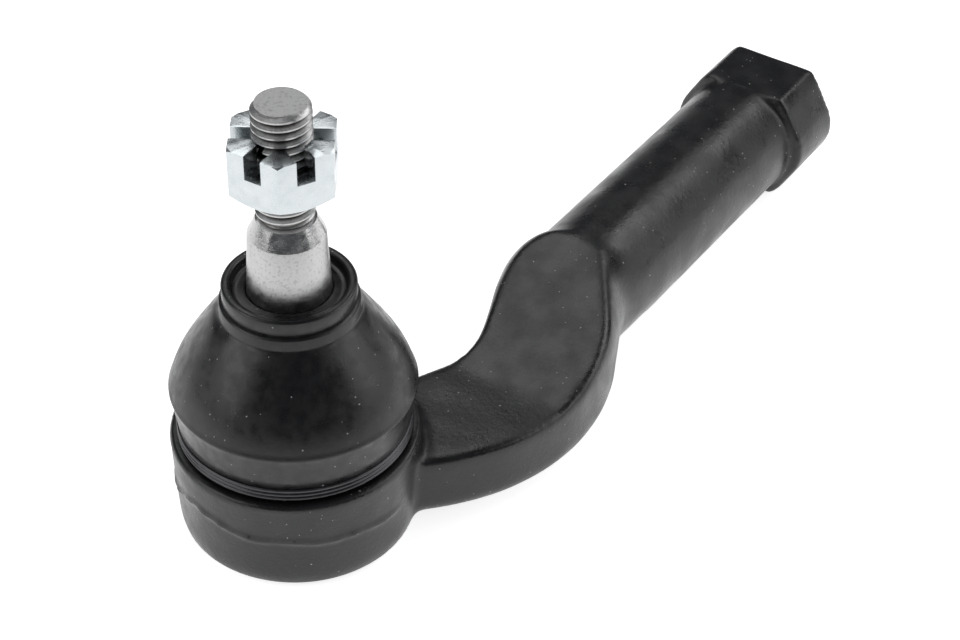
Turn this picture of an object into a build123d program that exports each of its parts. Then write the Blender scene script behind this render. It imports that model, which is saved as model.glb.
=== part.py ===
from build123d import *
import os
from math import asin, cos, degrees, radians, sin, sqrt, tan

# Tie rod end: a ball stud in a forged socket with a cranked arm and a threaded shank.
# Millimetres and degrees. The origin is the ball's centre, +Z runs up the stud and +X runs
# along the shank, away from the socket.

# ---------------------------------------------------------------------------------------------
# Driving dimensions
# ---------------------------------------------------------------------------------------------

# Clearances
RUN = 0.05            # radial clearance of a running fit
LOOSE = 0.3           # gap between soft or loosely held pieces
SWING_ROOM = 0.5      # room between the tilted stud's neck and the socket's mouth

# Ball stud
BALL_R = 11.0
BALL_FLAT_R = 4.5     # flat on the underside of the ball
NECK_R = 5.0
TILT = 25.0           # largest tilt of the stud, each way
TAPER_BASE_Z = 29.5   # large end of the taper
TAPER_TOP_Z = 44.2    # small end of the taper
TAPER_TOP_R = 6.6
TAPER_PER_MM = 1 / 20 # radius gained per millimetre, a taper of 1 in 10 on the diameter
NECK_FLARE = 4.0      # height over which the neck swells into the taper
SHOULDER_H = 3.5      # conical shoulder from the taper to the thread
LAND_H = 1.2          # plain land between the shoulder and the thread
THREAD_R = 5.0        # M10
THREAD_LENGTH = 20.6
TIP_CHAMFER = 1.0
PIN_HOLE_R = 1.3      # cross hole for a split pin
PIN_HOLE_DROP = 7.5   # from the stud's tip down to the cross hole
PIN_HOLE_AZIMUTH = 165.0

# Castle nut
NUT_FLATS = 17.0
NUT_HEIGHT = 9.8
NUT_BODY_H = 5.3      # solid part below the slots
NUT_SLOT_W = 3.2
NUT_GAP = 6.0         # height of the nut above the taper's shoulder as delivered
NUT_FOOT_CHAMFER_H = 1.0
NUT_TOP_CHAMFER_H = 0.3
NUT_CORNER_AZIMUTH = -147.0

# Seats, spring and end cap, stacked under the ball
SEAT_WALL = 2.3
SEAT_SPLIT = 0.6      # half the gap between the upper and the lower seat
SEAT_FLOOR = 1.6
GREASE_HOLE_R = 3.5
SPRING_H = 1.6
SPRING_T = 0.8
SPRING_BORE_R = 5.0
CAP_T = 2.5
CAP_R = 15.0
CAP_DISH_R = 7.5
CAP_DISH_DEPTH = 0.8
ROLLED_LIP = 1.0      # housing edge rolled over the cap
ROLLED_LIP_R = 14.0

# Socket of the housing
SOCKET_WALL = 8.65
SOCKET_DRAFT = 0.9    # how much narrower the socket is at its foot
SOCKET_FOOT_ROUND = 3.0
RIM_Z = 2.3           # flat rim that the boot's base stands on
RIM_CHAMFER = 0.5
RIM_LEDGE = 1.35      # how far the rim stands out beyond the base ring
GROOVE_WALL = 3.25    # wall of the neck at the boot groove
GROOVE_H = 4.0
NECK_LIP = 1.4        # how far the neck's lip stands out over the groove
NECK_LIP_H = 3.2
SEAT_CONE_H = 2.2     # cone that centres the upper seat under the mouth

# Arm and shank of the housing
ARM_WIDTH = 24.6
ARM_TOP_Z = -2.5
ARM_H = 13.3
ARM_STOCK = 2.2       # height left on the arm's sections for the flat top to be cut from
ARM_CORNER = 3.6      # round of the arm's section
RAMP_FOOT_X = 34.0    # where the arm's flat top starts to climb to the shank
RAMP_END_X = 68.0
SHANK_R = 12.3
SHANK_Y = -16.0
SHANK_X = 70.0        # start of the round shank
ARM_BULGE = 6.8       # how far the arm's middle stands off the shank's axis
HEX_FLATS = 27.6      # across the four slanted flats of the collar
WRENCH_FLATS = 23.5   # across its upper and lower flat
HEX_LENGTH = 14.5
HEX_CORNER = 9.0      # large round that leaves only narrow slanted flats
OVERALL_X = 146.0     # ball centre to the shank's end face
SHANK_THREAD_R = 7.19 # minor radius of M16 x 1.5
SHANK_THREAD_DEPTH = 55.0
SHANK_MOUTH_CHAMFER = 1.0
DRILL_POINT = 118.0

# Dust boot and its rings
BOOT_T = 2.0
BOOT_SHOULDER_R = 21.5   # widest fold of the boot
BOOT_SHOULDER_Z = 12.6
BOOT_DOME_POWER = 1.6    # 1 is a quarter ellipse, 2 a straight cone
BOOT_NECK_R = 12.0
BOOT_NECK_Z = 28.2       # foot of the neck
BOOT_NECK_H = 2.6
BOOT_NECK_GROOVE = 0.35
BOOT_COLLAR_H = 3.2
BOOT_COLLAR_R = 11.4
BOOT_COLLAR_T = 1.7
BOOT_CUP_DEPTH = 2.2
BASE_WIRE_D = 0.8
BASE_WIRE_TURNS = 3
NECK_RING_T = 1.6
NECK_RING_H = 1.4
NECK_RING_R = 9.2        # inner radius of the ring moulded into the neck

# ---------------------------------------------------------------------------------------------
# Derived sizes
# ---------------------------------------------------------------------------------------------

SPHERE_R = BALL_R + RUN                     # hollow of the seats
SEAT_R = BALL_R + SEAT_WALL
BORE_R = SEAT_R + RUN
MOUTH_ANGLE = TILT + degrees(asin(NECK_R / BALL_R)) + 1.0
SEAT_TOP_Z = SPHERE_R * cos(radians(MOUTH_ANGLE))
SEAT_BOTTOM_Z = -(BALL_R + SEAT_FLOOR)
CAP_TOP_Z = SEAT_BOTTOM_Z - SPRING_H
CAP_BOTTOM_Z = CAP_TOP_Z - CAP_T
FOOT_Z = CAP_BOTTOM_Z - ROLLED_LIP

SOCKET_R = BORE_R + SOCKET_WALL
GROOVE_R = BORE_R + GROOVE_WALL
NECK_LIP_R = GROOVE_R + NECK_LIP
GROOVE_TOP_Z = RIM_Z + GROOVE_H
NECK_TOP_Z = GROOVE_TOP_Z + NECK_LIP_H

SHANK_Z = FOOT_Z + SHANK_R                  # the shank lies level with the foot
ARM_BOTTOM_Z = ARM_TOP_Z - ARM_H

TAPER_BASE_R = TAPER_TOP_R + (TAPER_TOP_Z - TAPER_BASE_Z) * TAPER_PER_MM
LAND_Z = TAPER_TOP_Z + SHOULDER_H
THREAD_Z = LAND_Z + LAND_H
TIP_Z = THREAD_Z + THREAD_LENGTH
NUT_Z = LAND_Z + NUT_GAP

BASE_BAND_R = SOCKET_R - RIM_LEDGE - BASE_WIRE_D - LOOSE   # boot wall that the base ring grips
BOOT_SKIRT_R = SOCKET_R - RIM_LEDGE - BASE_WIRE_D / 2
BASE_WIRE_PITCH = BASE_WIRE_D + 0.02
BOOT_SKIRT_Z = RIM_Z + BASE_WIRE_TURNS * BASE_WIRE_PITCH + 2 * RUN   # top of the ring's band
BOOT_NECK_TOP_Z = BOOT_NECK_Z + BOOT_NECK_H
BOOT_RIM_Z = BOOT_NECK_TOP_Z + BOOT_COLLAR_H


def taper_radius(z):
    return TAPER_TOP_R + (TAPER_TOP_Z - z) * TAPER_PER_MM


def neck_reach(z):
    """How far the fully tilted stud's neck reaches from the axis at height z."""
    lean = radians(TILT)
    along = (z + NECK_R * sin(lean)) / cos(lean)
    return along * sin(lean) + NECK_R * cos(lean)


def turned(*outline):
    """Solid of revolution about Z from (radius, height) corners."""
    face = Plane.XZ * make_face(Polyline(*outline, close=True))
    return revolve(face, Axis.Z)


# ---------------------------------------------------------------------------------------------
# Housing: socket, cranked arm, round shank and hexagon, forged in one piece
# ---------------------------------------------------------------------------------------------

def socket_outside():
    foot_r = SOCKET_R - SOCKET_DRAFT
    body = turned(
        (0, FOOT_Z), (foot_r, FOOT_Z), (SOCKET_R, RIM_Z - RIM_CHAMFER),
        (SOCKET_R - RIM_CHAMFER, RIM_Z), (GROOVE_R, RIM_Z), (GROOVE_R, GROOVE_TOP_Z - NECK_LIP),
        (NECK_LIP_R, GROOVE_TOP_Z), (NECK_LIP_R, NECK_TOP_Z - NECK_LIP),
        (NECK_LIP_R - NECK_LIP, NECK_TOP_Z), (0, NECK_TOP_Z),
    )
    foot_edge = body.edges().filter_by(GeomType.CIRCLE).sort_by(Axis.Z)[0]
    return fillet(foot_edge, SOCKET_FOOT_ROUND)


def socket_inside():
    mouth_bottom_r = neck_reach(SEAT_TOP_Z) + SWING_ROOM
    mouth_top_r = neck_reach(NECK_TOP_Z) + SWING_ROOM
    return turned(
        (0, FOOT_Z), (ROLLED_LIP_R, FOOT_Z), (ROLLED_LIP_R, CAP_BOTTOM_Z),
        (CAP_R + RUN, CAP_BOTTOM_Z), (CAP_R + RUN, CAP_TOP_Z), (BORE_R, CAP_TOP_Z),
        (BORE_R, SEAT_TOP_Z - SEAT_CONE_H), (BORE_R - SEAT_CONE_H, SEAT_TOP_Z),
        (mouth_bottom_r, SEAT_TOP_Z), (mouth_top_r, NECK_TOP_Z), (0, NECK_TOP_Z),
    )


def arm_section(x, y, heading, width, bottom, top, corner):
    """Rounded section of the arm, square to a centreline that heads so many degrees from +X."""
    across = Vector(-sin(radians(heading)), cos(radians(heading)), 0)
    along = Vector(cos(radians(heading)), sin(radians(heading)), 0)
    middle = Plane(origin=(x, y, (bottom + top) / 2), x_dir=across, z_dir=along)
    return middle * RectangleRounded(width, top - bottom, corner)


def arm():
    """Cranked arm: a flat bar that leaves the socket sideways and swells into the shank."""
    bulge_y = SHANK_Y - ARM_BULGE
    shank_bottom = SHANK_Z - SHANK_R
    shank_top = SHANK_Z + SHANK_R
    high = ARM_TOP_Z + ARM_STOCK
    round_corner = SHANK_R - 0.4
    sections = (
        arm_section(9, -8, -35, ARM_WIDTH - 3, ARM_BOTTOM_Z, high, ARM_CORNER),
        arm_section(20, bulge_y + 6.6, -29, ARM_WIDTH - 0.6, ARM_BOTTOM_Z, high, ARM_CORNER),
        arm_section(32, bulge_y + 0.9, -12, ARM_WIDTH, ARM_BOTTOM_Z, high + 1, ARM_CORNER),
        arm_section(43, bulge_y, 7, ARM_WIDTH, ARM_BOTTOM_Z - 0.2, high + 3, ARM_CORNER + 1),
        arm_section(54, SHANK_Y - 3.4, 14, ARM_WIDTH + 0.6, shank_bottom + 0.8, shank_top - 0.6, 8.5),
        arm_section(SHANK_X, SHANK_Y, 0, 2 * SHANK_R, shank_bottom, shank_top, round_corner),
    )
    bar = loft(sections)
    side = make_face(Polyline(
        (0, shank_bottom), (SHANK_X, shank_bottom), (SHANK_X, shank_top), (RAMP_END_X, shank_top),
        (RAMP_FOOT_X, ARM_TOP_Z), (0, ARM_TOP_Z), close=True,
    ))
    return bar & extrude(Plane.XZ * side, 2 * SHANK_R + ARM_WIDTH, both=True)


def shank():
    along = Plane(origin=(SHANK_X, SHANK_Y, SHANK_Z), x_dir=(0, 1, 0), z_dir=(1, 0, 0))
    hex_start = OVERALL_X - HEX_LENGTH
    rod = extrude(along * Circle(SHANK_R), hex_start - SHANK_X)
    corners = RegularPolygon(HEX_FLATS / 2, 6, major_radius=False).vertices()
    outline = fillet(corners, HEX_CORNER) & Rectangle(2 * HEX_FLATS, WRENCH_FLATS)
    hexagon = extrude(along.offset(hex_start - SHANK_X) * outline, HEX_LENGTH)
    return rod + hexagon


def shank_bore():
    """Blind hole for the inner tie rod's thread, with a chamfered mouth and a drill point."""
    end = Plane(origin=(OVERALL_X, SHANK_Y, SHANK_Z), x_dir=(0, 1, 0), z_dir=(-1, 0, 0))
    point_h = SHANK_THREAD_R / tan(radians(DRILL_POINT / 2))
    mouth_r = SHANK_THREAD_R + SHANK_MOUTH_CHAMFER
    hole = extrude(end * Circle(SHANK_THREAD_R), SHANK_THREAD_DEPTH)
    lead_in = Cone(mouth_r, SHANK_THREAD_R, SHANK_MOUTH_CHAMFER, align=(Align.CENTER, Align.CENTER, Align.MIN))
    point = Cone(SHANK_THREAD_R, 0, point_h, align=(Align.CENTER, Align.CENTER, Align.MIN))
    return hole + end * lead_in + end.offset(SHANK_THREAD_DEPTH) * point


def housing():
    return socket_outside() + arm() + shank() - socket_inside() - shank_bore()


# ---------------------------------------------------------------------------------------------
# Pieces inside the socket
# ---------------------------------------------------------------------------------------------

def upper_ball_seat():
    blank = turned(
        (0, SEAT_SPLIT), (SEAT_R, SEAT_SPLIT), (SEAT_R, SEAT_TOP_Z - SEAT_CONE_H),
        (SEAT_R - SEAT_CONE_H, SEAT_TOP_Z), (0, SEAT_TOP_Z),
    )
    return blank - Sphere(SPHERE_R)


def lower_ball_seat():
    blank = turned(
        (GREASE_HOLE_R, SEAT_BOTTOM_Z), (SEAT_R, SEAT_BOTTOM_Z), (SEAT_R, -SEAT_SPLIT),
        (GREASE_HOLE_R, -SEAT_SPLIT),
    )
    return blank - Sphere(SPHERE_R)


def preload_spring():
    """Disc spring: a coned washer, standing on its outer edge on the end cap."""
    outer_r = SEAT_R - RUN
    return turned(
        (SPRING_BORE_R, SEAT_BOTTOM_Z - SPRING_T), (outer_r, CAP_TOP_Z),
        (outer_r, CAP_TOP_Z + SPRING_T), (SPRING_BORE_R, SEAT_BOTTOM_Z),
    )


def end_cap():
    return turned(
        (0, CAP_BOTTOM_Z + CAP_DISH_DEPTH), (CAP_DISH_R, CAP_BOTTOM_Z + CAP_DISH_DEPTH),
        (CAP_DISH_R + CAP_DISH_DEPTH, CAP_BOTTOM_Z), (CAP_R, CAP_BOTTOM_Z), (CAP_R, CAP_TOP_Z),
        (0, CAP_TOP_Z),
    )


# ---------------------------------------------------------------------------------------------
# Ball stud and castle nut
# ---------------------------------------------------------------------------------------------

def ball_stud():
    ball_flat_z = -sqrt(BALL_R ** 2 - BALL_FLAT_R ** 2)
    flat_cut = Pos(0, 0, ball_flat_z) * Cylinder(BALL_R, BALL_R, align=(Align.CENTER, Align.CENTER, Align.MAX))
    shaft = turned(
        (0, 0), (NECK_R, 0), (NECK_R, TAPER_BASE_Z - NECK_FLARE), (TAPER_BASE_R, TAPER_BASE_Z),
        (TAPER_TOP_R, TAPER_TOP_Z), (THREAD_R, LAND_Z), (THREAD_R, TIP_Z - TIP_CHAMFER),
        (THREAD_R - TIP_CHAMFER, TIP_Z), (0, TIP_Z),
    )
    pin_hole = Pos(0, 0, TIP_Z - PIN_HOLE_DROP) * Rot(0, 0, PIN_HOLE_AZIMUTH) * Rot(0, 90, 0) * Cylinder(
        PIN_HOLE_R, 3 * THREAD_R)
    return Sphere(BALL_R) - flat_cut + shaft - pin_hole


def castle_nut():
    hexagon = RegularPolygon(NUT_FLATS / 2, 6, major_radius=False, rotation=NUT_CORNER_AZIMUTH)
    blank = extrude(hexagon, NUT_HEIGHT)
    corner_r = NUT_FLATS / sqrt(3)
    foot_r = corner_r - NUT_FOOT_CHAMFER_H * sqrt(3)
    top_r = corner_r - NUT_TOP_CHAMFER_H * sqrt(3)
    outside = turned(
        (0, 0), (foot_r, 0), (corner_r, NUT_FOOT_CHAMFER_H),
        (corner_r, NUT_HEIGHT - NUT_TOP_CHAMFER_H), (top_r, NUT_HEIGHT), (0, NUT_HEIGHT),
    )
    nut = blank & outside
    slot_h = NUT_HEIGHT - NUT_BODY_H
    for third in range(3):
        turn = NUT_CORNER_AZIMUTH + 30 + 60 * third
        slot = Box(3 * NUT_FLATS, NUT_SLOT_W, slot_h, align=(Align.CENTER, Align.CENTER, Align.MIN))
        nut -= Pos(0, 0, NUT_BODY_H) * Rot(0, 0, turn) * slot
    nut -= Cylinder(THREAD_R + RUN, 3 * NUT_HEIGHT)
    return Pos(0, 0, NUT_Z) * nut


# ---------------------------------------------------------------------------------------------
# Dust boot and its rings
# ---------------------------------------------------------------------------------------------

def dust_boot():
    """Rubber boot: a domed skirt gripped on the socket's neck, and a cupped collar round the taper."""
    base_in = GROOVE_R + LOOSE
    neck_in = taper_radius(BOOT_NECK_Z) + LOOSE
    cup_floor = BOOT_RIM_Z - BOOT_CUP_DEPTH
    base_z = RIM_Z + LOOSE / 2
    skirt_in = NECK_LIP_R + LOOSE
    shoulder_in = BOOT_SHOULDER_R - BOOT_T
    boot = turned(
        (base_in, base_z), (BASE_BAND_R, base_z), (BASE_BAND_R, BOOT_SKIRT_Z),
        (BOOT_SKIRT_R, BOOT_SKIRT_Z), (BOOT_SHOULDER_R, BOOT_SHOULDER_Z),
        *dome(BOOT_SHOULDER_R, BOOT_NECK_R, BOOT_SHOULDER_Z, BOOT_NECK_Z),
        (BOOT_NECK_R, BOOT_NECK_TOP_Z), (BOOT_NECK_R - BOOT_NECK_GROOVE, BOOT_NECK_TOP_Z),
        (BOOT_COLLAR_R, BOOT_NECK_TOP_Z + BOOT_NECK_GROOVE), (BOOT_COLLAR_R, BOOT_RIM_Z),
        (BOOT_COLLAR_R - BOOT_COLLAR_T, BOOT_RIM_Z), (BOOT_COLLAR_R - BOOT_COLLAR_T, cup_floor),
        (neck_in, cup_floor), (neck_in, BOOT_NECK_Z - BOOT_T / 2),
        *reversed(dome(shoulder_in, neck_in + BOOT_T, BOOT_SHOULDER_Z, BOOT_NECK_Z - BOOT_T)),
        (shoulder_in, BOOT_SHOULDER_Z), (skirt_in, NECK_TOP_Z), (skirt_in, GROOVE_TOP_Z),
        (base_in, GROOVE_TOP_Z - NECK_LIP),
    )
    return boot - ring_space(LOOSE)


def dome(foot_r, top_r, foot_z, top_z):
    """Corners along the upper half of the boot, which bulges outwards a little."""
    steps = 6
    corners = []
    for step in range(1, steps + 1):
        turn = radians(90 * step / steps)
        out = max(cos(turn), 0) ** BOOT_DOME_POWER
        up = sin(turn) ** BOOT_DOME_POWER
        corners.append((top_r + (foot_r - top_r) * out, foot_z + (top_z - foot_z) * up))
    return corners


def ring_space(gap):
    """Flat ring inside the boot's neck, larger by the gap all round."""
    low = BOOT_NECK_Z + (BOOT_NECK_H - NECK_RING_H) / 2 - gap
    high = low + NECK_RING_H + 2 * gap
    inner = NECK_RING_R - gap
    outer = NECK_RING_R + NECK_RING_T + gap
    return turned((inner, low), (outer, low), (outer, high), (inner, high))


def boot_neck_ring():
    return ring_space(0)


def boot_base_ring():
    """Wire ring of several turns that clamps the boot's base."""
    wire_r = BASE_WIRE_D / 2
    ring_r = BASE_BAND_R + LOOSE + wire_r
    first_z = RIM_Z + RUN + wire_r
    turns = [
        Pos(0, 0, first_z + BASE_WIRE_PITCH * turn) * Torus(ring_r, wire_r) for turn in range(BASE_WIRE_TURNS)
    ]
    return Compound(turns)


PIECES = (
    housing, upper_ball_seat, lower_ball_seat, preload_spring, end_cap, ball_stud, castle_nut,
    dust_boot, boot_neck_ring, boot_base_ring,
)

os.makedirs("parts", exist_ok=True)
for piece in PIECES:
    export_step(piece(), f"parts/{piece.__name__}.step")
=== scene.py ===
# %% [markdown]
# # A tie rod end
# A tie rod end joins a car's steering rack to its wheel. A forged arm carries a round socket, a ball
# stud swings in the socket, and a rubber boot keeps the grease in. The design model holds every size.
# This lesson dresses it: the forging, the boot, the threads and the finish of each material.

# %% Load the design model
from math import atan2, cos, degrees, exp, pi, radians, sin, sqrt, tau

import bmesh
import bpy
from mathutils import Matrix, Vector, noise


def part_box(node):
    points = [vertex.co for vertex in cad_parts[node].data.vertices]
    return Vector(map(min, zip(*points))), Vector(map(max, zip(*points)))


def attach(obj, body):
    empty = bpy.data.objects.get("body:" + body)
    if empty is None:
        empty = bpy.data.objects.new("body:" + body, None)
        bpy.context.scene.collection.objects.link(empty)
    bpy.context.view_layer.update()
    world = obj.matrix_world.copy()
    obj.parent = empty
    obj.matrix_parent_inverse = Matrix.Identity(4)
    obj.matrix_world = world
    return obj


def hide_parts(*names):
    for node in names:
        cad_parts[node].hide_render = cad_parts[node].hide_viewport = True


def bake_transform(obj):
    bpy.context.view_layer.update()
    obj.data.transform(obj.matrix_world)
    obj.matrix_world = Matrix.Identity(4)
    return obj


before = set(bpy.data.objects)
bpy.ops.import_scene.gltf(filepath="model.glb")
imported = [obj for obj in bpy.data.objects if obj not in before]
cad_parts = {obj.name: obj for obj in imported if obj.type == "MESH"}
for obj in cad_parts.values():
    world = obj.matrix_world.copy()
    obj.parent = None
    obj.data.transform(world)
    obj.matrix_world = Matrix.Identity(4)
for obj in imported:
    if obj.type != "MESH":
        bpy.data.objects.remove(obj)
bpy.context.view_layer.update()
MM = 0.001
scene = bpy.context.scene

# %% [markdown]
# Sizes are read from the design model's pieces, so that the looks follow it. `top` and `foot` give
# a piece's highest and lowest point, and `reach` how far it goes along the arm, in metres.

# %% Read the sizes that the pieces share
def top(node):
    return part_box(node)[1].z


def foot(node):
    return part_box(node)[0].z


def reach(node):
    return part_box(node)[1].x


FOOT_Z = foot("housing")
SHANK_END_X = reach("housing")
NUT_FOOT_Z = foot("castle_nut")
NUT_TOP_Z = top("castle_nut")
TIP_Z = top("ball_stud")
print(f"stud tip at {TIP_Z / MM:.1f} mm, shank's end at {SHANK_END_X / MM:.1f} mm")

# %% [markdown]
# The camera stands in front of the socket and looks along the arm, down at the part from above. A
# long lens keeps the shank from shrinking too much with distance. The turn is built from three
# plain rotations: roll about the lens, tilt up from straight down, and heading about the vertical.

# %% Place the camera
EYE = Vector((-0.2453, -0.1983, 0.2813))
HEADING = radians(33.15)
LOOK_DOWN = radians(39.13)
ROLL = radians(0.93)
LENS_MM = 90
SENSOR_MM = 36
NEAREST = 0.01

camera = bpy.data.objects.new("camera", bpy.data.cameras.new("camera"))
scene.collection.objects.link(camera)
camera.data.lens = LENS_MM
camera.data.sensor_width = SENSOR_MM
camera.data.clip_start = NEAREST
aim = Matrix.Rotation(HEADING - pi / 2, 4, "Z") @ Matrix.Rotation(pi / 2 - LOOK_DOWN, 4, "X")
camera.matrix_world = Matrix.Translation(EYE) @ aim @ Matrix.Rotation(ROLL, 4, "Z")
scene.camera = camera
print("camera", [round(v, 3) for v in EYE])

# %% [markdown]
# Black paint and bright steel show the studio more than their own colour, so the lights are large
# soft boxes: one overhead, one at each side, and a small one that draws the streak on the shank. The
# room itself is dim. A Light Path node shows a pale backdrop in its place, but only to the camera,
# so that views from low down look plain behind the part while the dim room still lights it.

# %% Light the room
def soft_box(name, place, target, size, power):
    light = bpy.data.lights.new(name, "AREA")
    light.shape = "RECTANGLE"
    light.size, light.size_y = size
    light.energy = power
    lamp = bpy.data.objects.new(name, light)
    scene.collection.objects.link(lamp)
    lamp.location = place
    lamp.rotation_euler = (Vector(target) - Vector(place)).to_track_quat("-Z", "Y").to_euler()


ROOM_TINT = (0.92, 0.95, 1.0, 1)
ROOM_LIGHT = 0.12

room = bpy.data.worlds.new("room")
room.use_nodes = True
room_nodes, room_links = room.node_tree.nodes, room.node_tree.links
walls = room_nodes["Background"]
walls.inputs["Color"].default_value = ROOM_TINT
walls.inputs["Strength"].default_value = ROOM_LIGHT
backdrop = room_nodes.new("ShaderNodeBackground")
chooser = room_nodes.new("ShaderNodeMixShader")
room_links.new(room_nodes.new("ShaderNodeLightPath").outputs["Is Camera Ray"], chooser.inputs[0])
room_links.new(walls.outputs[0], chooser.inputs[1])
room_links.new(backdrop.outputs[0], chooser.inputs[2])
room_links.new(chooser.outputs[0], room_nodes["World Output"].inputs["Surface"])
scene.world = room
scene.view_settings.view_transform = "Standard"

OBJECT_MIDDLE = Vector((0.05, -0.01, 0.01))
SHANK_MIDDLE = Vector((0.10, -0.016, 0.005))
# Each box: its name, its place, what it is aimed at, its two sides in metres and its watts.
SOFT_BOXES = (
    ("overhead", (0.21, 0.24, 0.54), OBJECT_MIDDLE, (0.42, 0.42), 1.0),
    ("left", (-0.45, 0.35, 0.35), OBJECT_MIDDLE, (0.5, 0.5), 1.5),
    ("right", (0.35, -0.55, 0.32), OBJECT_MIDDLE, (0.5, 0.5), 1.4),
    ("shank_streak", (0.40, -0.17, 0.37), SHANK_MIDDLE, (0.3, 0.22), 0.55),
)
for name, place, target, size, power in SOFT_BOXES:
    soft_box(name, place, target, size, power)
print("soft boxes:", len(SOFT_BOXES))

# %% [markdown]
# The table is a wide disc at the height of the socket's foot. It is only a stage and no part of the
# object. A plain disc is enough: its rim is far away, and pale backdrop shows beyond it.

# %% Set the table
TABLE_R = 3.0
TABLE_SIDES = 96

table_mesh = bmesh.new()
bmesh.ops.create_circle(table_mesh, cap_ends=True, segments=TABLE_SIDES, radius=TABLE_R)
table_data = bpy.data.meshes.new("table")
table_mesh.to_mesh(table_data)
table_mesh.free()
table = bpy.data.objects.new("table", table_data)
scene.collection.objects.link(table)
table_data.transform(Matrix.Translation((0, 0, FOOT_Z)))
print("table at", round(FOOT_Z / MM, 2), "mm")

# %% [markdown]
# Shader maths reads best as plain sums. `Wire` wraps a node's output, and adding or multiplying
# wires adds the Math nodes. `Finish` is one material: it owns a Principled shader, and its `add`
# makes any other node from its type, its settings and what goes into its sockets. A Mix node gives
# several sockets the same name, so `add` also takes sockets by their number.

# %% Write shader maths as expressions
EMPTY_CELLS = 0.45


class Wire:
    def __init__(self, finish, socket):
        self.finish = finish
        self.socket = socket

    def math(self, operation, first, second=0.0):
        return self.finish.add("ShaderNodeMath", {"operation": operation}, first, second)

    def __add__(self, other):
        return self.math("ADD", self, other)

    def __radd__(self, other):
        return self.math("ADD", other, self)

    def __sub__(self, other):
        return self.math("SUBTRACT", self, other)

    def __rsub__(self, other):
        return self.math("SUBTRACT", other, self)

    def __mul__(self, other):
        return self.math("MULTIPLY", self, other)

    def __rmul__(self, other):
        return self.math("MULTIPLY", other, self)

    def __gt__(self, other):
        return self.math("GREATER_THAN", self, other)

    def __lt__(self, other):
        return self.math("LESS_THAN", self, other)


class Finish:
    def __init__(self, name, metallic=0.0, roughness=0.5, coat=0.0):
        self.material = bpy.data.materials.new(name)
        self.material.use_nodes = True
        self.tree = self.material.node_tree
        self.shader = self.tree.nodes["Principled BSDF"]
        self.shader.inputs["Metallic"].default_value = metallic
        self.shader.inputs["Roughness"].default_value = roughness
        self.shader.inputs["Coat Weight"].default_value = coat
        self.place = self.add("ShaderNodeTexCoord", output="Object")

    def add(self, kind, settings=None, *values, output=0, numbered=None, **named):
        node = self.tree.nodes.new(kind)
        for key, value in (settings or {}).items():
            setattr(node, key, value)
        sockets = dict(enumerate(values))
        sockets.update(numbered or {})
        sockets.update({name.replace("_", " "): value for name, value in named.items()})
        for key, value in sockets.items():
            self.feed(node.inputs[key], value)
        return Wire(self, node.outputs[output])

    def feed(self, socket, value):
        if isinstance(value, Wire):
            self.tree.links.new(value.socket, socket)
        else:
            socket.default_value = value

    def stretched(self, scale):
        return self.add("ShaderNodeMapping", None, Vector=self.place, Scale=scale)

    def noise(self, grain, detail=3.0, place=None, roughness=0.5):
        """Soft blotches about `grain` metres across, from 0 to 1."""
        where = place or self.place
        return self.add("ShaderNodeTexNoise", None, Vector=where, Scale=1 / grain, Detail=detail,
                        Roughness=roughness)

    def specks(self, spacing, size):
        """Small round dots, 1 inside and 0 outside; only some of the cells hold one."""
        cells = {"voronoi_dimensions": "3D"}
        distance = self.add("ShaderNodeTexVoronoi", cells, Vector=self.place, Scale=1 / spacing)
        lot = self.add("ShaderNodeTexVoronoi", cells, Vector=self.place, Scale=1 / spacing, output="Color")
        chance = self.add("ShaderNodeSeparateColor", None, Color=lot)
        return distance < (chance - EMPTY_CELLS) * (size / spacing)

    def spread(self, wire, low, high, to_low=0.0, to_high=1.0):
        """Moves the stretch from low to high onto the stretch from to_low to to_high, with soft ends."""
        return self.add("ShaderNodeMapRange", {"interpolation_type": "SMOOTHSTEP"}, wire, low, high,
                        to_low, to_high)

    def blend(self, first, second, amount):
        """From the first colour to the second as the amount goes from 0 to 1."""
        return self.add("ShaderNodeMix", {"data_type": "RGBA"}, numbered={0: amount, 6: first, 7: second},
                        output=2)

    def height(self):
        return self.add("ShaderNodeSeparateXYZ", None, Vector=self.place, output="Z")

    def relief(self, wire, depth, under=None):
        """A bump: the wire from 0 to 1 stands `depth` metres high."""
        bump = {} if under is None else {"Normal": under}
        return self.add("ShaderNodeBump", None, Height=wire, Distance=depth, Strength=1.0, **bump)

    def set(self, **sockets):
        for name, value in sockets.items():
            self.feed(self.shader.inputs[name.replace("_", " ")], value)
        return self.material


print("shader helpers ready")

# %% [markdown]
# Chassis paint is thin, black and half glossy, over a forged skin. The skin's grain shows through
# as fine dimples, and its long waves bend the reflections. Dust and pale scuffs lie on top. Three
# layers of noise make the skin, each a bump on the one below.

# %% Finish: black chassis paint on a forged skin
def chassis_paint():
    paint = Finish("chassis_paint", roughness=0.36)
    waves = paint.noise(11 * MM, 2)
    grain = paint.noise(0.9 * MM, 4, roughness=0.6)
    pits = paint.noise(0.32 * MM, 2)
    dust = paint.specks(1.3 * MM, 0.32 * MM)
    skin = paint.relief(waves, 0.15 * MM)
    skin = paint.relief(grain, 0.06 * MM, skin)
    skin = paint.relief(pits, 0.022 * MM, skin)
    tone = paint.blend((0.0045, 0.0047, 0.0056, 1), (0.009, 0.0093, 0.0102, 1), grain)
    scuffs = paint.spread(paint.noise(1.4 * MM, 5, roughness=0.7), 0.64, 0.74)
    tone = paint.blend(tone, (0.05, 0.05, 0.052, 1), scuffs * 0.5)
    tone = paint.blend(tone, (0.3, 0.3, 0.3, 1), dust)
    gloss = paint.spread(paint.noise(6 * MM, 3), 0.3, 0.7, 0.2, 0.36)
    return paint.set(Base_Color=tone, Roughness=gloss + pits * 0.08 + dust * 0.4, Normal=skin)


CHASSIS_PAINT = chassis_paint()
print("made", CHASSIS_PAINT.name)

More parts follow.
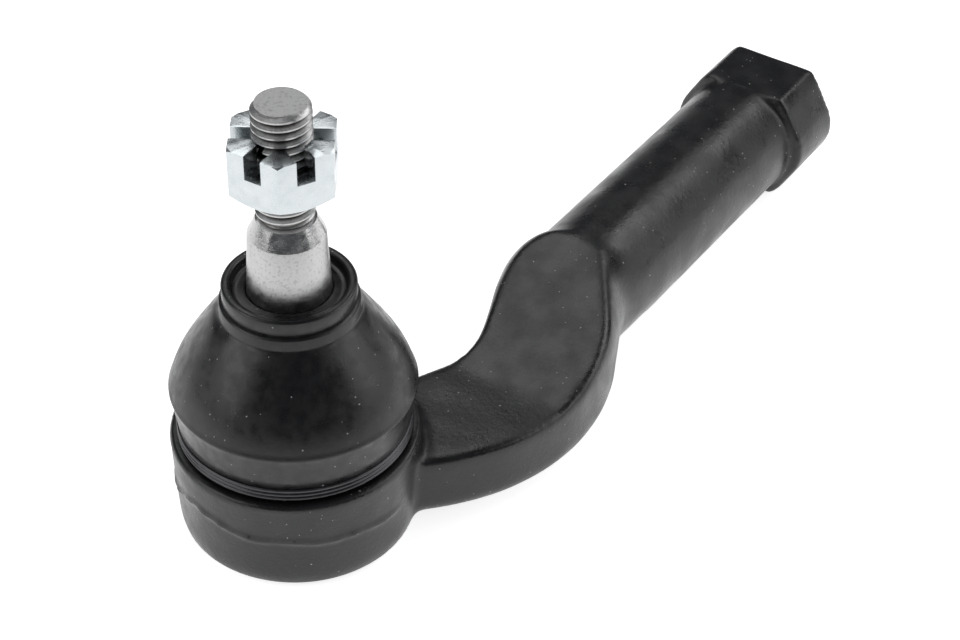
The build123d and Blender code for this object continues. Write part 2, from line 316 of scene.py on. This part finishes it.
# %% [markdown]
# Boot rubber is moulded in a polished die, so it is smoother than the forging and has a soft satin
# sheen. Handling leaves it mottled, and dust clings to it.

# %% Finish: moulded boot rubber
def boot_rubber():
    rubber = Finish("moulded_rubber", roughness=0.45)
    mottle = rubber.noise(2.2 * MM, 4)
    fine = rubber.noise(0.5 * MM, 2)
    dust = rubber.specks(1.3 * MM, 0.3 * MM)
    skin = rubber.relief(rubber.noise(14 * MM, 2), 0.12 * MM)
    skin = rubber.relief(mottle, 0.03 * MM, skin)
    skin = rubber.relief(fine, 0.012 * MM, skin)
    tone = rubber.blend((0.0028, 0.003, 0.0038, 1), (0.0062, 0.0064, 0.0072, 1), mottle)
    tone = rubber.blend(tone, (0.25, 0.25, 0.25, 1), dust)
    gloss = rubber.spread(mottle, 0.3, 0.7, 0.26, 0.42)
    return rubber.set(Base_Color=tone, Roughness=gloss + dust * 0.4, Normal=skin)


BOOT_RUBBER = boot_rubber()
print("made", BOOT_RUBBER.name)

# %% [markdown]
# The stud is turned on a lathe. The tool leaves fine rings on the taper, which are noise squeezed
# flat along the stud's axis. The shoulder above the taper is polished. The grooves of the thread,
# which are the places nearer to the axis than the crests, are painted dark as shade.

# %% Finish: turned steel
# Heights and radii on the stud, in millimetres.
SHOULDER_FOOT = 44.2
THREAD_FOOT = 47.4
GROOVE_R = 4.1
CREST_R = 4.8
TIP_FACE = 0.2
TIP_CHAMFER_SPAN = 0.9


def turned_steel():
    steel = Finish("turned_steel", metallic=1.0, roughness=0.3)
    rings = steel.noise(1.0, 3, steel.stretched((40, 40, 5200)))
    blotch = steel.noise(1.2 * MM, 4)
    spots = steel.noise(0.45 * MM, 3)
    height = steel.height()
    tip = height > TIP_Z - TIP_FACE * MM
    polished = (height > SHOULDER_FOOT * MM) * (height < THREAD_FOOT * MM)
    tone = steel.blend((0.40, 0.40, 0.40, 1), (0.56, 0.56, 0.56, 1), blotch)
    tone = steel.blend(tone, (0.30, 0.30, 0.29, 1), steel.spread(spots, 0.52, 0.66) * 0.6)
    x, y = (steel.add("ShaderNodeSeparateXYZ", None, Vector=steel.place, output=axis) * (1 / MM)
            for axis in "XY")
    # Painted shade: the thread's grooves, nearer the axis than the crests, are darkened in the colour.
    groove_shade = steel.spread(x * x + y * y, GROOVE_R ** 2, CREST_R ** 2, 1, 0)
    groove_shade = groove_shade * (height > THREAD_FOOT * MM) * (height < TIP_Z - TIP_CHAMFER_SPAN * MM)
    tone = steel.blend(tone, (0.05, 0.046, 0.042, 1), groove_shade * 0.8)
    gloss = steel.spread(blotch, 0.3, 0.7, 0.3, 0.42) + tip * 0.2 - polished * 0.14
    skin = steel.relief(rings, 0.012 * MM)
    skin = steel.relief(spots, 0.02 * MM, skin)
    return steel.set(Base_Color=tone, Roughness=gloss, Normal=skin)


TURNED_STEEL = turned_steel()
print("made", TURNED_STEEL.name)

# %% [markdown]
# Bright zinc plate is bluish white. It is a little cloudy, and the nut's faces keep the faint
# roughness of the cold-formed blank under the plate.

# %% Finish: bright zinc plate
def zinc_plate():
    zinc = Finish("zinc_plate", metallic=1.0, roughness=0.28)
    cloud = zinc.noise(2.0 * MM, 4)
    fine = zinc.noise(0.4 * MM, 3)
    tone = zinc.blend((0.44, 0.475, 0.49, 1), (0.68, 0.715, 0.725, 1), cloud)
    return zinc.set(Base_Color=tone, Roughness=zinc.spread(cloud, 0.3, 0.7, 0.2, 0.36),
                    Normal=zinc.relief(fine, 0.02 * MM))


ZINC_PLATE = zinc_plate()
print("made", ZINC_PLATE.name)

# %% [markdown]
# The pieces inside the socket are seen only when it is taken apart: acetal seats, a blued spring and
# black wire. Their finishes are simpler, but none is a flat colour.

# %% Finishes: acetal, spring steel and black wire
def acetal():
    plastic = Finish("acetal", roughness=0.4)
    cloud = plastic.noise(3 * MM, 3)
    tone = plastic.blend((0.62, 0.60, 0.52, 1), (0.74, 0.72, 0.64, 1), cloud)
    return plastic.set(Base_Color=tone, Roughness=plastic.spread(cloud, 0.3, 0.7, 0.34, 0.48),
                       Normal=plastic.relief(plastic.noise(0.4 * MM), 0.01 * MM))


def spring_steel():
    spring = Finish("blued_spring", metallic=1.0)
    cloud = spring.noise(2 * MM, 4)
    tone = spring.blend((0.20, 0.21, 0.25, 1), (0.36, 0.36, 0.38, 1), cloud)
    return spring.set(Base_Color=tone, Roughness=spring.spread(cloud, 0.3, 0.7, 0.3, 0.5),
                      Normal=spring.relief(spring.noise(0.3 * MM), 0.01 * MM))


def black_wire():
    wire = Finish("drawn_wire", metallic=0.9)
    cloud = wire.noise(1.5 * MM, 3)
    tone = wire.blend((0.05, 0.05, 0.053, 1), (0.10, 0.10, 0.104, 1), cloud)
    return wire.set(Base_Color=tone, Roughness=wire.spread(cloud, 0.3, 0.7, 0.28, 0.42),
                    Normal=wire.relief(wire.noise(0.3 * MM), 0.008 * MM))


ACETAL, SPRING_STEEL, BLACK_WIRE = acetal(), spring_steel(), black_wire()
print("made", ACETAL.name, SPRING_STEEL.name, BLACK_WIRE.name)

# %% [markdown]
# Every new piece is finished in the same way: its mesh is put in an object at the origin, smoothed,
# given its material, and told which body it rides on and which design pieces it replaces.

# %% Helpers for new pieces
def make_piece(name, bm, material, slot, body, *replaced, auto_smooth=35):
    mesh = bpy.data.meshes.new(name)
    bm.to_mesh(mesh)
    bm.free()
    return dress_piece(name, mesh, material, slot, body, *replaced, auto_smooth=auto_smooth)


def dress_piece(name, mesh, material, slot, body, *replaced, auto_smooth=35):
    piece = bpy.data.objects.new(name, mesh)
    scene.collection.objects.link(piece)
    mesh.materials.clear()
    mesh.materials.append(material)
    mesh.shade_smooth()
    if auto_smooth:
        mesh.set_sharp_from_angle(angle=radians(auto_smooth))
    if body:
        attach(piece, body)
    for node in replaced:
        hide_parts(node)
    print(f"{name}: {len(mesh.polygons)} faces")
    return piece


def baked_mesh(bm, *modifiers):
    """The mesh after the given modifiers, each a type and its settings."""
    mesh = bpy.data.meshes.new("blank")
    bm.to_mesh(mesh)
    bm.free()
    blank = bpy.data.objects.new("blank", mesh)
    scene.collection.objects.link(blank)
    for kind, settings in modifiers:
        modifier = blank.modifiers.new(kind.lower(), kind)
        for key, value in settings.items():
            setattr(modifier, key, value)
    bpy.context.view_layer.update()
    ready = blank.evaluated_get(bpy.context.evaluated_depsgraph_get())
    result = bpy.data.meshes.new_from_object(ready)
    bpy.data.objects.remove(blank)
    return result


def tool_object(name, bm):
    mesh = bpy.data.meshes.new(name)
    bm.to_mesh(mesh)
    bm.free()
    tool = bpy.data.objects.new(name, mesh)
    scene.collection.objects.link(tool)
    return tool


def turned_shape(outline, steps=128, closed=False):
    """A bmesh turned about Z from (radius, height) points in millimetres."""
    bm = bmesh.new()
    verts = [bm.verts.new((r * MM, 0, z * MM)) for r, z in outline]
    pairs = list(zip(verts, verts[1:])) + ([(verts[-1], verts[0])] if closed else [])
    edges = [bm.edges.new(pair) for pair in pairs]
    bmesh.ops.spin(bm, geom=verts + edges, cent=(0, 0, 0), axis=(0, 0, 1), angle=tau, steps=steps,
                   use_merge=True)
    bmesh.ops.remove_doubles(bm, verts=bm.verts, dist=1e-7)
    bmesh.ops.recalc_face_normals(bm, faces=bm.faces)
    return bm


print("piece helpers ready")

# %% [markdown]
# A drop forging has no sharp edges: the steel flowed into the die, and every corner is a soft
# round. The design model gives the exact form with plain edges. A copy of it is merged into one
# skin, rebuilt as an even net with a voxel remesh, and the net is relaxed where the die shaped it.
# The machined faces, which are the boot's neck, the rim, the foot and the threaded bore, keep
# their edges.

# %% The forging's sizes, and which skin the die shaped
VOXEL = 0.55 * MM
CREASE_PASSES = 24
JOINT_PASSES = 90
COLLAR_PASSES = 4
BAR_PASSES = 12
RIM_Z = 2.3 * MM
SOCKET_R = 22.0 * MM
COLLAR_X = 131.5 * MM
RAMP_FOOT_X = 34 * MM
ARM_TOP_Z = -2.5 * MM
SHANK_R = 12.3 * MM
SHANK_AXIS = Vector((-16.0 * MM, FOOT_Z + SHANK_R))
# How far the machined faces of the socket reach from its wall, its rim, its foot and its floor.
WALL_MARGIN, RIM_MARGIN, FOOT_MARGIN, FLOOR_MARGIN = 0.6 * MM, 1.2 * MM, 1.5 * MM, 4 * MM
BORE_REACH = 62 * MM
BORE_WALL_R = 9.5 * MM


def die_formed(co):
    """True where the die shaped the skin, and false on machined faces."""
    out = co.xy.length
    near_rim_or_foot = co.z > RIM_Z - RIM_MARGIN or co.z < FOOT_Z + FOOT_MARGIN
    if out < SOCKET_R + WALL_MARGIN and (near_rim_or_foot or out < SOCKET_R - FLOOR_MARGIN):
        return False
    from_axis = (co.yz - SHANK_AXIS).length
    in_bore = co.x > SHANK_END_X - BORE_REACH and from_axis < BORE_WALL_R
    return not in_bore


print(f"voxels of {VOXEL / MM:.2f} mm")

# %% [markdown]
# The two halves of the die leave a thin fin where they meet. It is trimmed off, but a ragged ridge
# stays on the socket. It could be a bump in the paint, but a ridge in the mesh also shows in the
# outline. It follows a wavy line round the socket and fades out at both ends.

# %% The trimmed seam of the die
# The seam's line, from azimuth in degrees to height in millimetres.
FLASH_LINE = ((120, -7.4), (141, -7.1), (152, -5.4), (163, -4.3), (177, -4.9), (188, -5.9), (199, -6.1),
              (213, -5.8), (228, -6.4), (243, -6.4), (258, -6.7), (275, -7.2))
FLASH_H = 0.5 * MM
FLASH_W = 0.5
FLASH_FADE = 12
FLASH_RAGGED_SIZE = 2.2 * MM


def flash_height(co):
    """How far the trimmed seam stands out of the socket's wall at a point."""
    azimuth = degrees(atan2(co.y, co.x)) % 360
    for (a, za), (b, zb) in zip(FLASH_LINE, FLASH_LINE[1:]):
        if a <= azimuth <= b:
            line = za + (zb - za) * (azimuth - a) / (b - a)
            ends = min(azimuth - FLASH_LINE[0][0], FLASH_LINE[-1][0] - azimuth) / FLASH_FADE
            ragged = 0.75 + 0.5 * noise.noise(co / FLASH_RAGGED_SIZE)
            return FLASH_H * ragged * min(ends, 1) * exp(-((co.z / MM - line) / FLASH_W) ** 2)
    return 0.0


print("seam from", FLASH_LINE[0][0], "to", FLASH_LINE[-1][0], "degrees")

# %% [markdown]
# The copy is merged and remeshed. Relaxing then moves each point towards its neighbours, and more
# passes give a larger round, so each zone gets its own number: most at the join of arm and shank,
# many at the crease where the arm starts to climb, and few on the collar, whose flats stay crisp.

# %% Remesh the forging and sort its zones
JOINT_FROM_X, JOINT_TO_X = 55 * MM, 78 * MM
JOINT_SIDE = 4 * MM
COLLAR_MARGIN = 4 * MM
CREASE_SPAN = 9 * MM
CREASE_DROP = 0.3 * MM
LEVEL = 0.8

forging = bmesh.new()
forging.from_mesh(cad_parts["housing"].data)
bmesh.ops.remove_doubles(forging, verts=forging.verts, dist=1e-6)
skin = baked_mesh(forging, ("REMESH", {"mode": "VOXEL", "voxel_size": VOXEL, "adaptivity": 0.0}))

forging = bmesh.new()
forging.from_mesh(skin)
forging.normal_update()
soft = [v for v in forging.verts if die_formed(v.co)]
bar = [v for v in soft if v.co.x < COLLAR_X - COLLAR_MARGIN]
joint = [v for v in soft if JOINT_FROM_X < v.co.x < JOINT_TO_X and v.co.y < SHANK_AXIS.x - JOINT_SIDE
         and v.co.z < SHANK_AXIS.y + JOINT_SIDE]
crease = [v for v in soft if abs(v.co.x - RAMP_FOOT_X) < CREASE_SPAN
          and v.co.z > ARM_TOP_Z - CREASE_DROP and abs(v.normal.z) > LEVEL]
print(f"{len(soft)} die-formed points, {len(joint)} at the join, {len(crease)} at the crease")


# %% Piece: the forging
DIE_WEAR = 0.07 * MM
DIE_WEAR_SIZE = 7 * MM
WEAR_SEED = 7
SEAM_INSIDE, SEAM_OUTSIDE, SEAM_TOP_Z = 1.3 * MM, 0.4 * MM, -1 * MM


def relax(verts, passes):
    for _ in range(passes):
        bmesh.ops.smooth_vert(forging, verts=verts, factor=0.5, use_axis_x=True, use_axis_y=True,
                              use_axis_z=True)


relax(crease, CREASE_PASSES)
relax(joint, JOINT_PASSES)
relax(soft, COLLAR_PASSES)
relax(bar, BAR_PASSES)

for v in forging.verts:
    out = v.co.xy.length
    if SOCKET_R - SEAM_INSIDE < out < SOCKET_R + SEAM_OUTSIDE and v.co.z < SEAM_TOP_Z:
        v.co.xy *= 1 + flash_height(v.co) / out
# Unseeded, noise_vector starts from the clock, and the wear would differ on every run.
noise.seed_set(WEAR_SEED)
for v in soft:
    v.co += noise.noise_vector(v.co / DIE_WEAR_SIZE) * DIE_WEAR
make_piece("socket_and_arm", forging, CHASSIS_PAINT, "forging", "housing_body", "housing", auto_smooth=0)

# %% [markdown]
# The boot is moulded rubber: a gripped base, a skirt, a fold at its widest, a dome, and a cupped
# collar round the stud. It is round about the stud, so one outline spun about the axis makes it. It
# is a closed shell, inside and outside, because a boot has a wall.

# %% Piece: the dust boot
# Radius and height in millimetres, up the outside and down the inside.
BOOT_OUTLINE = (
    (17.3, 2.5), (19.5, 2.5), (19.5, 4.7), (20.0, 4.95), (20.3, 5.2), (20.6, 7.2), (20.95, 9.4),
    (21.2, 11.2), (21.4, 12.1), (21.5, 12.35), (21.5, 12.6), (21.35, 12.85),
    (21.1, 13.7), (20.65, 15.0), (19.95, 16.7),
    (19.0, 18.5), (17.8, 20.5), (16.4, 22.6), (15.0, 24.7), (13.7, 26.5), (12.7, 27.7),
    (12.15, 28.1), (12.0, 28.5), (12.0, 30.3), (11.85, 30.6), (11.35, 30.75), (11.35, 31.05),
    (11.45, 31.25), (11.45, 33.5), (11.3, 33.8), (11.0, 33.95), (10.3, 33.95), (10.0, 33.8),
    (9.85, 33.4), (9.7, 32.5), (9.4, 32.25), (8.6, 32.3), (7.6, 32.7), (7.35, 32.5), (7.35, 29.8),
    (7.5, 28.6), (9.6, 27.4), (11.2, 26.0), (12.6, 24.0), (14.2, 21.6), (15.8, 19.2), (17.4, 16.8),
    (18.8, 14.6), (19.4, 13.0), (19.3, 11.6), (19.0, 9.6), (18.4, 7.0), (18.2, 5.6), (17.3, 4.9),
)
boot = turned_shape(BOOT_OUTLINE, closed=True)
dust_boot = make_piece("rubber_boot", boot, BOOT_RUBBER, "boot_rubber", None, "dust_boot", auto_smooth=50)
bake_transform(dust_boot)

# %% [markdown]
# The base ring is a length of wire wound three times and pressed over the boot. A small circle is
# spun round the axis and lifted a little at each step, which is a spin with a step vector.

# %% Piece: the wound base ring
WIRE_R = 0.4 * MM
WIRE_PITCH = 0.81 * MM
WIRE_TURNS = 3
RING_R = 20.25 * MM
RING_START = radians(30)
RING_GAP = 0.03 * MM
WIRE_SIDES = 10
LAST_TURN = 0.9
STEPS_PER_TURN = 128

ring = bmesh.new()
bmesh.ops.create_circle(ring, cap_ends=True, segments=WIRE_SIDES, radius=WIRE_R)
bmesh.ops.rotate(ring, verts=ring.verts, matrix=Matrix.Rotation(pi / 2, 3, "X"))
bmesh.ops.translate(ring, verts=ring.verts, vec=(RING_R, 0, RIM_Z + WIRE_R + RING_GAP))
bmesh.ops.rotate(ring, verts=ring.verts, matrix=Matrix.Rotation(RING_START, 3, "Z"))
wound = (WIRE_TURNS - 1) * STEPS_PER_TURN + STEPS_PER_TURN * LAST_TURN
bmesh.ops.spin(ring, geom=ring.verts[:] + ring.edges[:] + ring.faces[:], cent=(0, 0, 0), axis=(0, 0, 1),
               dvec=(0, 0, WIRE_PITCH / STEPS_PER_TURN), angle=tau * wound / STEPS_PER_TURN,
               steps=int(wound))
bmesh.ops.remove_doubles(ring, verts=ring.verts, dist=1e-7)
bmesh.ops.recalc_face_normals(ring, faces=ring.faces)
make_piece("wound_base_ring", ring, BLACK_WIRE, "ring_wire", "housing_body", "boot_base_ring",
           auto_smooth=50)

# %% [markdown]
# A thread is a groove that climbs one pitch each turn. One outline with all the ridges is spun once
# round while it rises by one pitch, so each ridge ends where the next one began and the seam closes
# by itself. The stretch beyond each end is cut off flat, and the tip is turned down to a chamfer.

# %% Helpers for the thread
THREAD_R = 5.0
PITCH = 1.5
ROOT_R = THREAD_R - 0.68 * PITCH
THREAD_TOP = TIP_Z / MM
THREAD_STEPS = 96
TIP_CHAMFER = 0.7
THREAD_RUN_IN = 0.1


def threaded_rod(major, root, pitch, low, high):
    """An open helical skin between two heights, in millimetres."""
    bm = bmesh.new()
    crest, flank, floor = pitch / 5, pitch * 0.3375, pitch / 8
    rows = int((high - low) / pitch) + 4
    points = []
    for row in range(rows):
        z = low + (row - 2) * pitch
        points += [(root, z), (root, z + floor), (major, z + floor + flank),
                   (major, z + floor + flank + crest)]
    verts = [bm.verts.new((r * MM, 0, z * MM)) for r, z in points]
    edges = [bm.edges.new(pair) for pair in zip(verts, verts[1:])]
    bmesh.ops.spin(bm, geom=verts + edges, cent=(0, 0, 0), axis=(0, 0, 1), angle=tau,
                   dvec=(0, 0, pitch * MM / THREAD_STEPS), steps=THREAD_STEPS)
    bmesh.ops.remove_doubles(bm, verts=bm.verts, dist=1e-6)
    for height, side in ((low, -1), (high, 1)):
        bmesh.ops.bisect_plane(bm, geom=bm.verts[:] + bm.edges[:] + bm.faces[:], dist=1e-7,
                               plane_co=(0, 0, height * MM), plane_no=(0, 0, side), clear_outer=True)
    return bm


def turn_down(bm, limit):
    """Brings every point inside limit(height), as a lathe tool would; both in millimetres."""
    for v in bm.verts:
        out = v.co.xy.length / MM
        allowed = limit(v.co.z / MM)
        if out > allowed:
            v.co.xy *= allowed / out


def thread_limit(z):
    """The largest radius at a height: a chamfer at the tip, and a run-in at the thread's foot."""
    return min(THREAD_R, THREAD_TOP - z + THREAD_R - TIP_CHAMFER, z - THREAD_FOOT + ROOT_R + THREAD_RUN_IN)


print(f"thread of {PITCH} mm pitch from {THREAD_FOOT} to {THREAD_TOP:.1f} mm")

# %% [markdown]
# The threaded end is closed to a solid and drilled across for a split pin, with a Boolean. Below it
# the ball, neck, taper and shoulder are one outline turned about the axis. Thread and shaft are two
# closed skins in one mesh: the shaft's end goes a little way up inside the thread, so that no gap
# shows where they meet. Making one skin of them would take another Boolean and look the same.

# %% Cut the thread and drill it
PIN_HOLE_R = 1.3
PIN_HOLE_DROP = 7.5
PIN_HOLE_AZIMUTH = 165

stud = threaded_rod(THREAD_R, ROOT_R, PITCH, THREAD_FOOT, THREAD_TOP)
turn_down(stud, thread_limit)
bmesh.ops.holes_fill(stud, edges=[e for e in stud.edges if e.is_boundary], sides=0)
bmesh.ops.recalc_face_normals(stud, faces=stud.faces)

drill = bmesh.new()
bmesh.ops.create_cone(drill, cap_ends=True, segments=32, radius1=PIN_HOLE_R * MM, radius2=PIN_HOLE_R * MM,
                      depth=4 * THREAD_R * MM)
bmesh.ops.rotate(drill, verts=drill.verts, matrix=Matrix.Rotation(pi / 2, 3, "Y"))
bmesh.ops.rotate(drill, verts=drill.verts, matrix=Matrix.Rotation(radians(PIN_HOLE_AZIMUTH), 3, "Z"))
bmesh.ops.translate(drill, verts=drill.verts, vec=(0, 0, (THREAD_TOP - PIN_HOLE_DROP) * MM))
drill_tool = tool_object("drill_tool", drill)
threads = baked_mesh(stud, ("BOOLEAN", {"operation": "DIFFERENCE", "object": drill_tool, "solver": "EXACT"}))
bpy.data.objects.remove(drill_tool)
print("threaded end:", len(threads.polygons), "faces")

# %% Piece: the ball stud
stud = bmesh.new()
stud.from_mesh(threads)

BALL_R = 11
STUD_OUTLINE = [(0.0, -10.0), (4.3, -10.04)]
STUD_OUTLINE += [(BALL_R * sin(radians(a)), -BALL_R * cos(radians(a))) for a in range(25, 153, 4)]
STUD_OUTLINE += [(5.0, 9.8), (5.0, 24.6), (5.3, 26.2), (6.2, 28.0), (7.1, 29.2), (7.33, 29.8)]
STUD_OUTLINE += [(7.2, 32.4), (6.6, 44.1), (6.52, 44.3), (5.1, 47.3), (4.2, 47.6), (4.2, 49.3),
                 (0.0, 49.3)]
shaft = turned_shape(STUD_OUTLINE)
shaft_mesh = bpy.data.meshes.new("shaft")
shaft.to_mesh(shaft_mesh)
shaft.free()
stud.from_mesh(shaft_mesh)
make_piece("turned_ball_stud", stud, TURNED_STEEL, "stud_steel", "stud_body", "ball_stud", auto_smooth=40)

# %% [markdown]
# The castle nut starts as a six-sided bar. A turned double cone cuts the corners off at both ends,
# deeper at the foot than at the top. Three slots cross the upper part, and a round hole goes
# through. Each cut is a Boolean with a simple tool, and a small bevel breaks the edges as tumbling
# does. Sizes here are in millimetres.

# %% The nut's blank
nut_low, nut_high = NUT_FOOT_Z / MM, NUT_TOP_Z / MM
NUT_FLATS = 17.0
NUT_CORNER_R = NUT_FLATS / sqrt(3)
NUT_TURN = radians(-147)

blank = bmesh.new()
bmesh.ops.create_cone(blank, cap_ends=True, segments=6, radius1=NUT_CORNER_R * MM, radius2=NUT_CORNER_R * MM,
                      depth=(nut_high - nut_low) * MM)
bmesh.ops.rotate(blank, verts=blank.verts, matrix=Matrix.Rotation(NUT_TURN - pi / 2, 3, "Z"))
bmesh.ops.translate(blank, verts=blank.verts, vec=(0, 0, (nut_low + nut_high) / 2 * MM))

print(f"nut from {nut_low:.1f} to {nut_high:.1f} mm")

# %% The nut's cutting tools
FOOT_CHAMFER = 1.0
TOP_CHAMFER = 0.3
WIDE_R = NUT_CORNER_R + 0.02
BORE_R = 5.05
COUNTERSINK_R = 6.3
COUNTERSINK_H = 0.6
OVERSHOOT = 1
BORE_STEPS = 64
SLOT_W = 3.2
SLOT_LENGTH = 30
SLOT_H = 8
SLOT_FOOT = nut_low + 5.3

cone_tool = tool_object("cone_tool", turned_shape((
    (0, nut_low), (WIDE_R - FOOT_CHAMFER * sqrt(3), nut_low), (WIDE_R, nut_low + FOOT_CHAMFER),
    (WIDE_R, nut_high - TOP_CHAMFER), (WIDE_R - TOP_CHAMFER * sqrt(3), nut_high), (0, nut_high))))
bore_tool = tool_object("bore_tool", turned_shape((
    (0, nut_low - OVERSHOOT), (COUNTERSINK_R, nut_low - OVERSHOOT), (BORE_R, nut_low + COUNTERSINK_H),
    (BORE_R, nut_high + OVERSHOOT), (0, nut_high + OVERSHOOT)), steps=BORE_STEPS))

slots = bmesh.new()
for third in range(3):
    slot = bmesh.ops.create_cube(slots, size=1.0)["verts"]
    bmesh.ops.scale(slots, verts=slot, vec=(SLOT_LENGTH * MM, SLOT_W * MM, SLOT_H * MM))
    bmesh.ops.translate(slots, verts=slot, vec=(0, 0, (SLOT_FOOT + SLOT_H / 2) * MM))
    bmesh.ops.rotate(slots, verts=slot, matrix=Matrix.Rotation(NUT_TURN + radians(30 + 60 * third), 3, "Z"))
slot_tool = tool_object("slot_tool", slots)
print("three tools for the nut")

# %% Piece: the castle nut
EDGE_BREAK = 0.3 * MM

nut_mesh = baked_mesh(
    blank,
    ("BOOLEAN", {"operation": "INTERSECT", "object": cone_tool, "solver": "EXACT"}),
    ("BOOLEAN", {"operation": "DIFFERENCE", "object": slot_tool, "solver": "EXACT", "use_self": True}),
    ("BOOLEAN", {"operation": "DIFFERENCE", "object": bore_tool, "solver": "EXACT"}),
    ("BEVEL", {"width": EDGE_BREAK, "segments": 3, "limit_method": "ANGLE", "angle_limit": radians(30)}),
)
for tool in (cone_tool, bore_tool, slot_tool):
    bpy.data.objects.remove(tool)
dress_piece("slotted_castle_nut", nut_mesh, ZINC_PLATE, "zinc", "nut_body", "castle_nut", auto_smooth=30)

# %% [markdown]
# The pieces inside the socket keep the shape of the design model. They get their finishes.

# %% Finish the carried-over pieces
CARRIED = {
    "end_cap": CHASSIS_PAINT, "upper_ball_seat": ACETAL, "lower_ball_seat": ACETAL,
    "preload_spring": SPRING_STEEL, "boot_neck_ring": SPRING_STEEL,
}
for node, material in CARRIED.items():
    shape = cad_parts[node]
    for slot in shape.material_slots:
        slot.material = material
print("finished", ", ".join(CARRIED))

# %% [markdown]
# The table is a white card. Soft light alone leaves it grey next to a black part, and stronger
# lights would bleach the steel, so the card also gives off a little light of its own.

# %% Finish: the white table
TABLE_GLOW = 0.8


def paint_table():
    card = Finish("white_table", roughness=0.6)
    return card.set(Base_Color=(0.9, 0.9, 0.9, 1), Emission_Color=(1, 1, 1, 1), Emission_Strength=TABLE_GLOW)


table_data.materials.append(paint_table())
print("table glow", TABLE_GLOW)
